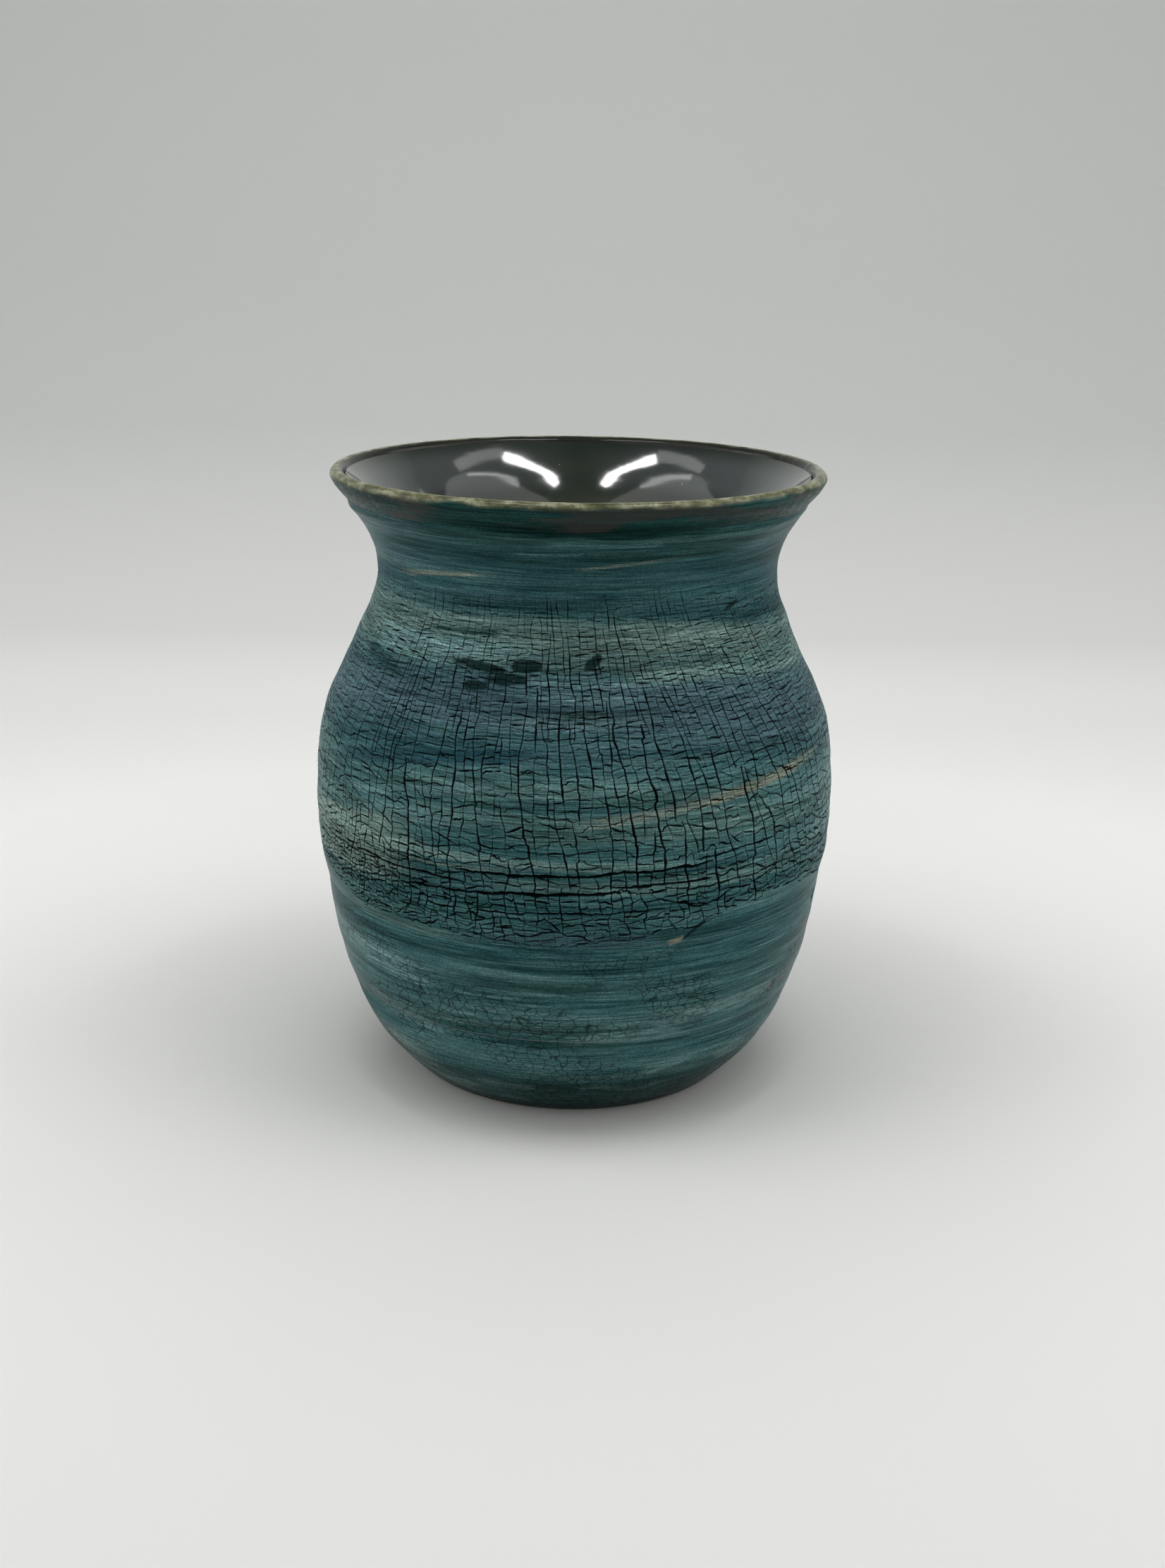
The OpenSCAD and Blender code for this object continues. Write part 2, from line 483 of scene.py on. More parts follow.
# Long cracks round the lower belly: start turn, end turn (degrees), start and end height, width
LONG_CRACKS = [
    (-50, -22, 58.6, 57.2, 0.42),
    (-24, 6, 59.6, 60.2, 0.60),
    (4, 30, 60.0, 61.4, 0.50),
    (26, 46, 61.9, 63.2, 0.36),
    (-38, -14, 54.6, 55.6, 0.50),
    (-16, 10, 55.6, 56.8, 0.66),
    (8, 30, 57.6, 58.0, 0.48),
    (24, 50, 55.8, 57.0, 0.34),
    (-66, -44, 58.2, 57.4, 0.34),
    (-20, 20, 51.6, 52.6, 0.34),
    (70, 104, 62.0, 60.6, 0.45),
    (98, 132, 57.5, 56.4, 0.55),
    (130, 160, 61.5, 60.6, 0.45),
    (150, 184, 56.5, 57.5, 0.55),
    (182, 214, 60.0, 61.5, 0.50),
    (208, 240, 56.0, 57.2, 0.50),
    (236, 270, 60.6, 59.6, 0.55),
    (262, 292, 55.6, 57.0, 0.45),
]


def long_cracks(cracks):
    rng = cracks.rng
    for start, end, low, high, width in LONG_CRACKS:
        count = int(math.radians(end - start) * TYPICAL_RADIUS / GROW_STEP)
        drift, path = 0.0, []
        for k in range(count):
            t = k / (count - 1)
            drift = 0.93 * drift + rng.normal(0, 0.07)
            turn = math.radians(start + (end - start) * t)
            path.append((turn, cracks.at(low + (high - low) * t) + drift))
        cracks.keep(LEVEL, path, [(0, width), (200, width)], 1.0)


SOFT = 0.09
THINNEST = 0.085
CRACK_DEPTH = 1.5
STAMP_STEP = 0.10


def drawn_cracks(cracks, rows):
    """The depth of the cracks in millimetres and how dark they are, on the mesh's points."""
    depth = np.zeros(rows * COLUMNS, np.float32)
    dark = np.zeros(rows * COLUMNS, np.float32)
    rng = cracks.rng
    cells = np.arange(cracks.rows) * CELL
    batch = []
    for path, widths, strength in cracks.drawn:
        turn, v = np.array(path).T
        radius = np.interp(v, cells, cracks.radii)
        along = np.concatenate([[0], np.cumsum(np.hypot(np.diff(turn) * radius[1:], np.diff(v)))])
        if along[-1] < 0.6:
            continue
        even = np.arange(0, along[-1], STAMP_STEP)
        turn, v = np.interp(even, along, turn), np.interp(even, along, v)
        height = np.interp(v, cells, cracks.heights)
        size = np.interp(height, [w[0] for w in widths], [w[1] for w in widths]) * strength
        knots = np.arange(0, even[-1] + 4, 1.8)
        swell = np.interp(even, knots, 0.75 + 0.9 * rng.random(len(knots)) ** 3)
        taper = min(2.5, 0.15 * even[-1] + 0.3)
        ends = ease(np.minimum(even, even[-1] - even) / taper) * 0.4 + 0.6
        size = size * swell * ends
        power = np.clip(size / 0.17, 0, 1) * ease((crack_ceiling(turn, np.sin) - height) / 8)
        batch.append(np.stack([turn, v, np.interp(v, cells, cracks.radii), size / 2, power]))
    stamp(depth, dark, rows, *np.concatenate(batch, 1))
    return depth.reshape(rows, COLUMNS), dark.reshape(rows, COLUMNS)


def stamp(depth, dark, rows, turn, v, radius, half, power):
    """Presses round dents, one for each place of a crack, into the two fields."""
    half = np.maximum(half, THINNEST)
    row = v / ROW_STEP
    column = turn / FULL_TURN * COLUMNS
    base_row, base_column = np.floor(row).astype(int), np.floor(column).astype(int)
    deep = np.minimum(CRACK_DEPTH * half, 0.5)
    for i in range(-2, 4):
        for j in range(-2, 4):
            at_row = base_row + i
            up = (at_row - row) * ROW_STEP
            across = (base_column + j - column) * (FULL_TURN / COLUMNS) * radius
            inside = np.clip((half + SOFT - np.hypot(up, across)) / (2 * SOFT), 0, 1) * power
            keep = (at_row >= 0) & (at_row < rows) & (inside > 0)
            at = (at_row * COLUMNS + (base_column + j) % COLUMNS)[keep]
            np.maximum.at(dark, at, inside[keep].astype(np.float32))
            np.maximum.at(depth, at, (inside * deep)[keep].astype(np.float32))


def blurred(field, reach):
    """A field averaged over a square window, seamless round the vase."""
    total = np.zeros(field.shape)
    for shift in range(-reach, reach + 1):
        total += np.roll(field, shift, 1)
    wide = np.pad(total, ((reach, reach), (0, 0)), "edge")
    rows = len(field)
    total = sum(wide[k : k + rows] for k in range(2 * reach + 1))
    return total / (2 * reach + 1) ** 2


# ---- brushwork

PIGMENTS = ("navy", "slate", "sage", "tan", "moss", "mint")


class Palette:
    """How much of each pigment lies at every point of a piece. What is left over is teal."""

    def __init__(self, turn, height):
        self.turn, self.height = turn, height
        self.share = {name: np.zeros(height.shape) for name in PIGMENTS}

    def lay(self, pigment, cover, rows=slice(None)):
        """Covers what is there with a pigment, or with bare teal for an empty name."""
        for name in PIGMENTS:
            self.share[name][rows] *= 1 - cover
        if pigment:
            self.share[pigment][rows] += cover

    def stroke(self, pigment, start, end, width, strength, seed, bow=0.0, dry=0.5):
        """One pass of a brush between two (turn in degrees, height) places."""
        low, high = sorted((start[1], end[1]))
        reach = width / 2 + abs(bow) + 1
        level = self.height[:, 0]
        rows = slice(*np.searchsorted(level, (low - reach, high + reach)))
        if rows.start == rows.stop:
            return
        rng = np.random.default_rng(seed)
        span = (end[0] - start[0]) % 360
        along = ((np.degrees(self.turn[rows]) - start[0] + 30) % 360 - 30) / span
        middle = start[1] + (end[1] - start[1]) * along + bow * 4 * along * (1 - along)
        across = (self.height[rows] - middle) / (width / 2)
        hairs = rng.uniform(0, 1, 64)
        hair = np.interp((across + 1) * 22 + 4 * along, np.arange(64), hairs, period=64)
        ragged = 0.22 * hair
        ends = ease((along - ragged * 0.6) / 0.14) * ease((1 - along - ragged) / 0.16)
        body = ease((1 - np.abs(across)) / 0.55)
        cover = strength * body * ends * np.clip(1 - dry + dry * 1.6 * hair, 0, 1)
        self.lay(pigment, cover, rows)

    def paint(self, piece, pick=...):
        """Stores the shares on a piece's points: the whole grid, or the part that is picked."""
        for attribute, names in (("cool", PIGMENTS[:3]), ("warm", PIGMENTS[3:])):
            paint_colour(piece, attribute, [self.share[name][pick] for name in names])


# Broad bands round the whole pot: pigment, cover, low, high, softness, even part, streaky part
BANDS = [
    ("navy", 0.85, 115.5, 124.5, 3, 0.75, 0.6),
    ("moss", 0.75, 119, 136, 4, 0.75, 0.8),
    ("moss", 0.35, 109, 118, 4, 0.6, 1.2),
    ("navy", 0.60, 108, 113, 4, 0.7, 0.6),
    ("sage", 0.68, 97.0, 107, 4, 0.75, 0.5),
    ("slate", 0.80, 83, 96.5, 4, 0.8, 0.4),
    ("navy", 0.70, 79, 84.5, 3, 0.7, 0.6),
    ("sage", 0.35, 66, 78, 5, 0.6, 0.9),
    ("moss", 0.16, 44, 63, 6, 0.6, 0.8),
    ("mint", 0.20, 23, 36, 6, 0.5, 1.0),
    ("moss", 0.30, 20, 44, 6, 0.4, 1.6),
    ("moss", 0.85, -5, 12, 8, 0.85, 0.5),
]

# Pigments of the strokes that pass all round, "" being bare teal, and how often each is used
PASSING = ["navy", "slate", "sage", "tan", "moss", "mint", ""]
PASSING_SHARE = [0.2, 0.2, 0.17, 0.05, 0.12, 0.08, 0.18]


def brushwork(palette):
    """The strokes of every coat. The front follows the pot; the rest carries on in kind."""
    turn, height = palette.turn, palette.height
    shape = height.shape
    rng = np.random.default_rng(21)
    drift = 3.0 * cloud(shape, (3, 5), 90) + 2.0 * np.sin(turn + 0.5)
    level = height + drift * band(height, 20, 118, 14)
    streak = clouds(shape, (60, 7), 91, 3)
    for pigment, cover, low, high, soft, even, streaky in BANDS:
        palette.lay(pigment, cover * band(level, low, high, soft) * (even + streaky * streak))
    # passing strokes all round
    for k in range(150):
        pigment = rng.choice(PASSING, p=PASSING_SHARE)
        start = rng.uniform(0, 360)
        at = rng.uniform(8, 122)
        span = rng.uniform(25, 120)
        tilt = rng.normal(0, 1.6)
        width = rng.uniform(0.7, 4.5) if pigment not in ("tan", "moss") else rng.uniform(0.4, 1.4)
        strength = rng.uniform(0.2, 0.6)
        bow = rng.normal(0, 0.8)
        end = (start + span, at + tilt)
        palette.stroke(pigment, (start, at), end, width, strength, 500 + k, bow, 0.75)
    for pigment, start, end, width, strength, dry, *bow in STROKES:
        seed = int(abs(start[0] * 7 + start[1] * 13))
        palette.stroke(pigment, start, end, width, strength, seed, sum(bow), dry)
    # pale patches where the foot's glaze ran thin
    thin = ease((clouds(shape, (36, 22), 95, 3) - 0.12) / 0.28)
    palette.lay("sage", 0.42 * thin * band(height, 3.5, 15, 5))


# Strokes seen from the front: pigment, start (turn, height), end, width, strength, dryness,
# and how far the middle bows up. A few are painted light rather than brushwork, as marked.
STROKES = [
    # painted sheen: these two slate strokes make the neck's left and right flanks lighter, standing in for
    # grazing light on the glaze
    ("slate", (-78, 124.0), (-30, 125.5), 5.0, 0.75, 0.5),
    ("slate", (44, 122.0), (84, 121.0), 5.0, 0.6, 0.6),
    ("moss", (-30, 127.0), (50, 126.5), 3.0, 0.9, 0.4),
    ("", (-14, 124.3), (30, 124.0), 1.6, 0.7, 0.7),
    ("mint", (-20, 121.8), (16, 122.6), 0.7, 0.45, 0.8),
    ("moss", (-4, 121.0), (60, 121.6), 2.0, 0.8, 0.6),
    ("moss", (-44, 110.4), (22, 111.2), 3.2, 0.6, 0.5),
    ("moss", (-52, 120.0), (2, 120.8), 1.6, 0.4, 0.6),
    ("", (-10, 113.0), (10, 114.0), 2.0, 0.6, 0.7),
    ("tan", (-10, 68.4), (78, 78.4), 2.8, 0.75, 0.45, 0.6),
    ("tan", (-62, 113.8), (-16, 117.0), 1.3, 0.6, 0.6, 0.3),
    ("tan", (-4, 118.4), (34, 121.6), 1.0, 0.5, 0.7),
    ("mint", (-70, 100.5), (-4, 100.5), 7.0, 0.85, 0.5),
    ("sage", (2, 104.5), (72, 99.0), 9.0, 0.6, 0.5, 1.0),
    ("sage", (8, 97.5), (50, 96.0), 3.5, 0.45, 0.6),
    ("mint", (-46, 100.8), (-6, 100.4), 4.0, 0.8, 0.3),
    ("mint", (10, 99.5), (58, 101.5), 3.0, 0.35, 0.8),
    ("moss", (-68, 97.8), (-44, 94.2), 3.2, 0.7, 0.4, 0.3),
    ("moss", (-46, 104.2), (-14, 104.4), 0.8, 0.9, 0.7),
    ("moss", (-34, 6.5), (74, 6.0), 10.0, 0.85, 0.1),
    ("moss", (-34, 104.9), (-16, 105.2), 0.4, 0.9, 0.7),
    ("moss", (-40, 103.2), (-20, 103.2), 0.5, 0.7, 0.8),
    ("moss", (30, 109.0), (70, 105.0), 0.5, 0.6, 0.7, 0.3),
    ("slate", (-70, 88.0), (-4, 92.5), 9.0, 0.6, 0.45),
    ("slate", (2, 91.0), (80, 88.0), 11.0, 0.75, 0.35, 1.5),
    ("navy", (-72, 74.5), (8, 83.8), 4.2, 0.85, 0.4, 1.5),
    ("navy", (10, 84.0), (80, 80.0), 3.6, 0.55, 0.6),
    ("mint", (-60, 70.0), (-14, 77.0), 2.6, 0.4, 0.8),
    ("mint", (-30, 75.6), (22, 77.4), 4.0, 0.4, 0.5),
    ("mint", (-54, 67.6), (-12, 70.4), 4.6, 0.45, 0.5),
    ("sage", (-92, 58.0), (-24, 62.6), 13.0, 0.85, 0.15),
    ("sage", (-84, 60.0), (-28, 66.0), 9.0, 0.9, 0.4),
    ("sage", (-84, 55.0), (-30, 56.5), 7.0, 0.85, 0.45),
    ("", (-18, 70.0), (40, 72.0), 9.0, 0.5, 0.5),
    ("mint", (-84, 38.0), (-24, 33.5), 7.0, 0.65, 0.5, -1.0),
    ("mint", (-64, 24.0), (-24, 20.0), 4.5, 0.5, 0.7),
    ("moss", (-32, 35.8), (18, 35.0), 4.0, 0.55, 0.5),
    ("mint", (-6, 22.5), (36, 23.5), 4.0, 0.6, 0.5),
    ("moss", (14, 45.5), (42, 46.5), 3.0, 0.5, 0.6),
    ("moss", (-20, 39.0), (20, 39.2), 1.6, 0.5, 0.8),
    ("moss", (-20, 36.4), (10, 32.3), 0.7, 0.6, 0.8),
    ("mint", (0, 24.0), (50, 28.0), 4.0, 0.35, 0.8),
    # painted reflection: these two mint strokes on the glossy foot stand in for the light patches that it
    # reflects
    ("mint", (20, 13.6), (40, 15.6), 3.4, 0.25, 0.6),
    ("mint", (40, 13.0), (56, 15.5), 2.4, 0.5, 0.6),
    ("tan", (20.5, 44.2), (25.5, 45.2), 1.8, 0.9, 0.2),
    ("tan", (-66, 10.0), (-22, 2.6), 2.4, 0.45, 0.6, -0.6),
    ("sage", (-62, 14.0), (-34, 9.0), 5.0, 0.5, 0.4),
    # painted reflection: a mint stroke on the glossy foot standing in for a reflected light patch
    ("mint", (18, 13.0), (34, 15.4), 4.0, 0.45, 0.4),
]

# Dabs of wet glaze: turn, height, half width, half height, tilt
DABS = [
    (-12, 98.9, 3.2, 1.3, 0.0),
    (-16, 96.3, 5.0, 1.2, 0.05),
    (-24, 94.7, 2.8, 0.9, 0.0),
    (-24, 98.4, 6.5, 0.9, -0.1),
    (4.9, 100.0, 1.8, 1.35, 0.5),
    (47.5, 108.9, 2.0, 0.6, 0.4),
    (27, 46.7, 3.4, 0.55, 0.75),
    (75.0, 42.3, 1.9, 1.2, 0.0),
    (118, 97.0, 4.0, 1.2, 0.1),
    (171, 101.0, 2.2, 1.3, -0.3),
    (232, 95.5, 5.5, 1.0, 0.1),
    (215, 48.0, 2.0, 0.8, 0.5),
]


def dab_cover(turn, height, radius):
    """Where the wet dabs lie, from 0 to 1."""
    cover = np.zeros(height.shape)
    ragged = 0.25 * clouds(height.shape, (90, 220), 60, 2)
    for at, middle, wide, tall, tilt in DABS:
        across = (turn - math.radians(at) + math.pi) % FULL_TURN - math.pi
        x = across * radius
        y = height - middle - tilt * x
        distance = np.hypot(x / wide, y / tall) + ragged
        cover = np.maximum(cover, ease((1.1 - distance) / 0.35))
    return cover


# ---- pieces


WALL_LOW = 0.6

# Small chips: turn, height, reach, depth
CHIPS = [(75.0, 42.3, 2.0, 1.1), (205, 52.0, 1.3, 0.8)]


def chip(turn, height, radius):
    """Depth of the small chips, in millimetres."""
    depth = 0
    for at, middle, reach, deep in CHIPS:
        across = ((turn - math.radians(at) + math.pi) % FULL_TURN - math.pi) * radius
        depth = depth + deep * ease(1.2 - np.hypot(across, 1.4 * (height - middle)) / reach)
    return depth


class Wall:
    """The outside of the vase from the foot to the lip, on one grid, so that the three coats
    that share it carry on from each other without a step."""

    def __init__(self):
        heights = np.append(np.arange(WALL_LOW, SLIP_HIGH, 0.2), SLIP_HIGH)
        self.line = resampled(np.stack([clay_radius(heights), heights], 1), ROW_STEP)
        self.slip_row = int(np.searchsorted(self.line[:, 1], SLIP_LOW))
        self.foot_row = int(np.searchsorted(self.line[:, 1], FOOT_HIGH))
        self.turn, self.height, radius = grid(self.line, COLUMNS)
        shape = self.height.shape
        rows = len(self.line) - self.slip_row
        cracks = Cracks(self.line[self.slip_row :])
        crackle(cracks)
        depth = np.zeros(shape)
        self.crack = np.zeros(shape)
        depth[self.slip_row :], self.crack[self.slip_row :] = drawn_cracks(cracks, rows)
        near, wide = blurred(self.crack, 2), blurred(self.crack, 5)
        # painted highlight: a paler band beside every crack, standing in for the light caught by curled
        # plate edges
        self.painted_edge_highlight = np.clip(near - 0.5 * self.crack, 0, 1) * ease((self.height - 40) / 10)
        curl = 0.18 * np.clip(near - self.crack, 0, 1) + 0.10 * np.clip(wide, 0, 0.6)
        thick = GLAZE_THICK + (SLIP_THICK - GLAZE_THICK) * ease((self.height - SLIP_LOW) / 9)
        brush = 0.030 * clouds(shape, (200, 9), 41, 2)
        brush = brush + 0.016 * cloud(shape, (400, 40), 44)
        top_edge = 0.25 + 0.75 * ease((SLIP_HIGH - self.height) / 1.3)
        foot_edge = ease((self.height - WALL_LOW + 0.3) / 1.2)
        self.push = (thick + curl + brush) * top_edge * foot_edge - depth
        self.push = self.push - chip(self.turn, self.height, radius)
        self.rises = 0.55 * cloud(shape, (1, 34), 51) * ease((self.height - SLIP_HIGH + 5) / 5)
        self.palette = Palette(self.turn, self.height)
        brushwork(self.palette)
        self.wet = dab_cover(self.turn, self.height, radius)
        self.gloss = self.gloss_field()

    def gloss_field(self):
        """0 on the dry slip, a little on the brushed glaze, 1 on the glossy foot."""
        edge = 19 + 3.5 * np.sin(self.turn + 0.2) + 1.5 * cloud(self.height.shape, (2, 24), 66)
        low = ease((edge - self.height) / 5 + 0.5)
        return np.maximum(0.35 * ease((47 - self.height) / 10), low)

    def piece(self, name, node, first, last, stride):
        """The coat between two rows of the grid, with every stride-th row and column."""
        rows = np.unique(np.append(np.arange(first, last, stride), last))
        pick = np.ix_(rows, np.arange(0, COLUMNS, stride))
        line = self.line[rows]
        heights = np.arange(line[-1, 1], line[0, 1], -3.0)
        backing = np.stack([clay_radius(heights), heights], 1)
        piece = revolved(name, line, self.push[pick], self.rises[pick], backing)
        self.palette.paint(piece, pick)
        paint_value(piece, "wet", self.wet[pick])
        paint_value(piece, "gloss", self.gloss[pick])
        if node == "crackle_slip":
            paint_value(piece, "crack", self.crack[pick])
            paint_value(piece, "painted_edge_highlight", self.painted_edge_highlight[pick])
        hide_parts(node)
        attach(piece, "root")
        return piece


def grid(line, columns):
    """Turn, height and radius at every point of a turned line."""
    turn = np.repeat(turns(columns)[None, :], len(line), 0)
    height = np.repeat(line[:, 1][:, None], columns, 1)
    radius = np.repeat(line[:, 0][:, None], columns, 1)
    return turn, height, radius


def make_rim():
    """The band over the lip: a rounded lip and a short skirt that the slip's edge runs under."""
    skirt_z = np.arange(SLIP_HIGH - 2, LIP_Z - 1.2, 0.3)
    skirt = np.stack([clay_radius(skirt_z), skirt_z], 1)
    angles = np.radians(np.arange(0, LIP_ROLL + 1, 5))
    over = LIP_THICK / 2 - GLAZE_THICK
    lip = np.stack([LIP_CENTRE + over * np.cos(angles), LIP_Z + over * np.sin(angles)], 1)
    below = slice(1, 12)
    under = GLAZE_THICK + 0.2 * ease((MOUTH_TOP - 0.4 - MOUTH_Z[below]) / 0.6)
    slant = np.sqrt(1 + np.gradient(MOUTH_R, MOUTH_Z)[below] ** 2)
    down = np.stack([MOUTH_R[below] + under * slant, MOUTH_Z[below]], 1)
    line = resampled(np.concatenate([skirt, lip, down]), 0.28)
    turn, height, _ = grid(line, RIM_COLUMNS)
    relief = 0.05 * clouds(height.shape, (6, 60), 71, 3) + 0.03 * cloud(height.shape, (2, 200), 75)
    piece = revolved("rim_glaze_coat", line, GLAZE_THICK + relief)
    around = np.repeat(line_normals(line)[:, 0][:, None], RIM_COLUMNS, 1)
    palette = Palette(turn, height)
    brushwork(palette)
    palette.paint(piece)
    edge = 0.25 * clouds(height.shape, (3, 90), 77, 3)
    paint_value(piece, "inner", ease((-0.12 - around + edge) / 0.35))
    hem = LIP_Z + 0.30 + 0.2 * np.sin(2 * turn + 1) + 0.5 * clouds(height.shape, (3, 40), 79, 3)
    paint_value(piece, "skirt", ease((hem - height) / 0.6 + 0.5) * (around > 0))
    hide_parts("rim_glaze")
    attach(piece, "root")
    return piece


def make_liner():
    """The glossy liner, with faint throwing rings, down to the middle of the floor. Its flare attribute
    makes the flare near the lip paler on the left and right flanks: a painted reflection of soft light, not
    a colour of the glaze.
    """
    wall = np.stack([MOUTH_R[3:], MOUTH_Z[3:]], 1)
    last = wall[-1]
    across = np.linspace(0, 1, 60)[1:]
    radii = last[0] * (1 - across)
    floor = np.array([[r, ray("liner_glaze", (0, -max(r, 0.05), 60), (0, 0, -1))[2]] for r in radii])
    floor[-1, 0] = 0.02
    line = resampled(np.concatenate([wall, floor]), 0.8)
    turn, height, radius = grid(line, SMOOTH_COLUMNS)
    rings = 0.012 * np.sin(FULL_TURN * height / 5.1 + turn) + 0.012 * clouds(height.shape, (24, 12), 81, 2)
    push = rings * np.clip(radius / 20, 0, 1) * ease((LIP_Z - 1 - height) / 8) + 0.03
    piece = revolved("liner_glaze_coat", line, push)
    # painted reflection: paler on the left and right flanks of the flare, dark at front and back, standing
    # in for soft light mirrored in the glossy liner
    painted_sheen_sides = np.abs(np.sin(turn)) ** 1.2
    uneven = 1 + 0.3 * cloud(height.shape, (4, 9), 85)
    paint_value(piece, "flare", painted_sheen_sides * band(height, FLARE_Z + 1, LIP_Z - 1, 4) * uneven)
    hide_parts("liner_glaze")
    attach(piece, "root")
    return piece


def make_clay():
    """The fired clay, seen at the dry foot and in the turned recess under it."""
    foot_r = clay_radius(1.0)
    recess_z = ray("stoneware_body", (0, 0, -20), (0, 0, 1))[2]
    # how far in from the foot's edge, and height
    ring = [(11.5, recess_z), (9.8, recess_z - 0.5), (8.6, 0.3), (7.6, 0.0)]
    ring += [(1.4, 0.0), (0.5, 0.35), (0.15, 1.0)]
    bottom = [[0.02, recess_z]] + [[foot_r - inset, z] for inset, z in ring]
    side_z = np.arange(1.5, LIP_Z - 1.5, 1.0)
    side = np.stack([clay_radius(side_z), side_z], 1)
    line = resampled(np.concatenate([bottom, side]), 0.8)
    _, height, radius = grid(line, SMOOTH_COLUMNS)
    under = ease((2.4 - height) / 0.6)
    grooves = 0.12 * np.sin(FULL_TURN * radius / 2.3) * under * ease((foot_r - 12 - radius) / 2)
    grit = 0.05 * clouds(height.shape, (160, 260), 31, 3) * under
    piece = revolved("clay_pot", line, grooves + grit - 0.05)
    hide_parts("stoneware_body")
    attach(piece, "root")
    return piece


# ---- materials


class Graph:
    """A material's node tree with short calls for the nodes used here."""

    def __init__(self, name):
        self.material = bpy.data.materials.new(name)
        self.material.use_nodes = True
        self.tree = self.material.node_tree
        self.shader = self.tree.nodes["Principled BSDF"]

    def put(self, socket, value):
        if isinstance(value, bpy.types.NodeSocket):
            self.tree.links.new(value, socket)
        elif isinstance(value, (tuple, list)) and len(value) == 3 and socket.type == "RGBA":
            socket.default_value = (*value, 1)
        else:
            socket.default_value = value

    def add(self, kind, inputs, out=0, **settings):
        node = self.tree.nodes.new(kind)
        for key, value in settings.items():
            setattr(node, key, value)
        for key, value in inputs.items():
            self.put(node.inputs[key], value)
        return node.outputs[out]

    def set(self, name, value):
        """A value or a link for one socket of the shader."""
        self.put(self.shader.inputs[name], value)

    def math(self, operation, a, b=0.0, clamp=False):
        return self.add("ShaderNodeMath", {0: a, 1: b}, operation=operation, use_clamp=clamp)

    def times(self, a, b, clamp=False):
        return self.math("MULTIPLY", a, b, clamp)

    def scaled(self, value, factor, shift):
        return self.add("ShaderNodeMath", {0: value, 1: factor, 2: shift}, operation="MULTIPLY_ADD")

    def mix(self, factor, a, b, blend="MIX"):
        return self.add("ShaderNodeMix", {0: factor, 6: a, 7: b}, out=2, data_type="RGBA", blend_type=blend)

    def ramp(self, factor, stops):
        node = self.tree.nodes.new("ShaderNodeValToRGB")
        points = node.color_ramp.elements
        while len(points) < len(stops):
            points.new(0.5)
        for point, (place, colour) in zip(points, stops):
            point.position = place
            point.color = (*colour, 1) if isinstance(colour, tuple) else (colour, colour, colour, 1)
        self.put(node.inputs[0], factor)
        return node.outputs[0]

    def place(self, scale=(1, 1, 1), shift=(0, 0, 0)):
        """The object's own coordinates in millimetres, stretched by scale."""
        where = self.add("ShaderNodeTexCoord", {}, out=3)
        factor = tuple(s / MM for s in scale)
        return self.add("ShaderNodeMapping", {"Vector": where, "Scale": factor, "Location": shift})

    def noise(self, vector, scale, detail=3.0, roughness=0.55, distortion=0.0):
        inputs = {"Vector": vector, "Scale": scale, "Detail": detail, "Roughness": roughness}
        return self.add("ShaderNodeTexNoise", {**inputs, "Distortion": distortion})

    def cells(self, vector, scale, feature="F1"):
        return self.add("ShaderNodeTexVoronoi", {"Vector": vector, "Scale": scale}, feature=feature)

    def value(self, name):
        return self.add("ShaderNodeAttribute", {}, out=2, attribute_name=name)

    def channels(self, name):
        colour = self.add("ShaderNodeAttribute", {}, out=0, attribute_name=name)
        node = self.tree.nodes.new("ShaderNodeSeparateColor")
        self.put(node.inputs[0], colour)
        return node.outputs[0], node.outputs[1], node.outputs[2]

    def bump(self, height, distance, strength=1.0, before=None):
        inputs = {"Height": height, "Distance": distance, "Strength": strength}
        if before is not None:
            inputs["Normal"] = before
        return self.add("ShaderNodeBump", inputs)


TEAL = [
    (0.34, (0.004, 0.024, 0.027)),
    (0.43, (0.018, 0.068, 0.074)),
    (0.50, (0.041, 0.117, 0.122)),
    (0.57, (0.074, 0.168, 0.172)),
    (0.67, (0.140, 0.250, 0.255)),
]
NAVY = (0.008, 0.038, 0.054)
SLATE = (0.056, 0.100, 0.122)
SAGE = (0.160, 0.240, 0.212)
TAN = (0.232, 0.236, 0.172)
MOSS = (0.002, 0.022, 0.018)
MINT = (0.180, 0.315, 0.315)
WET = (0.002, 0.014, 0.014)
SPECK = (0.40, 0.46, 0.42)
CRACK = (0.001, 0.002, 0.002)


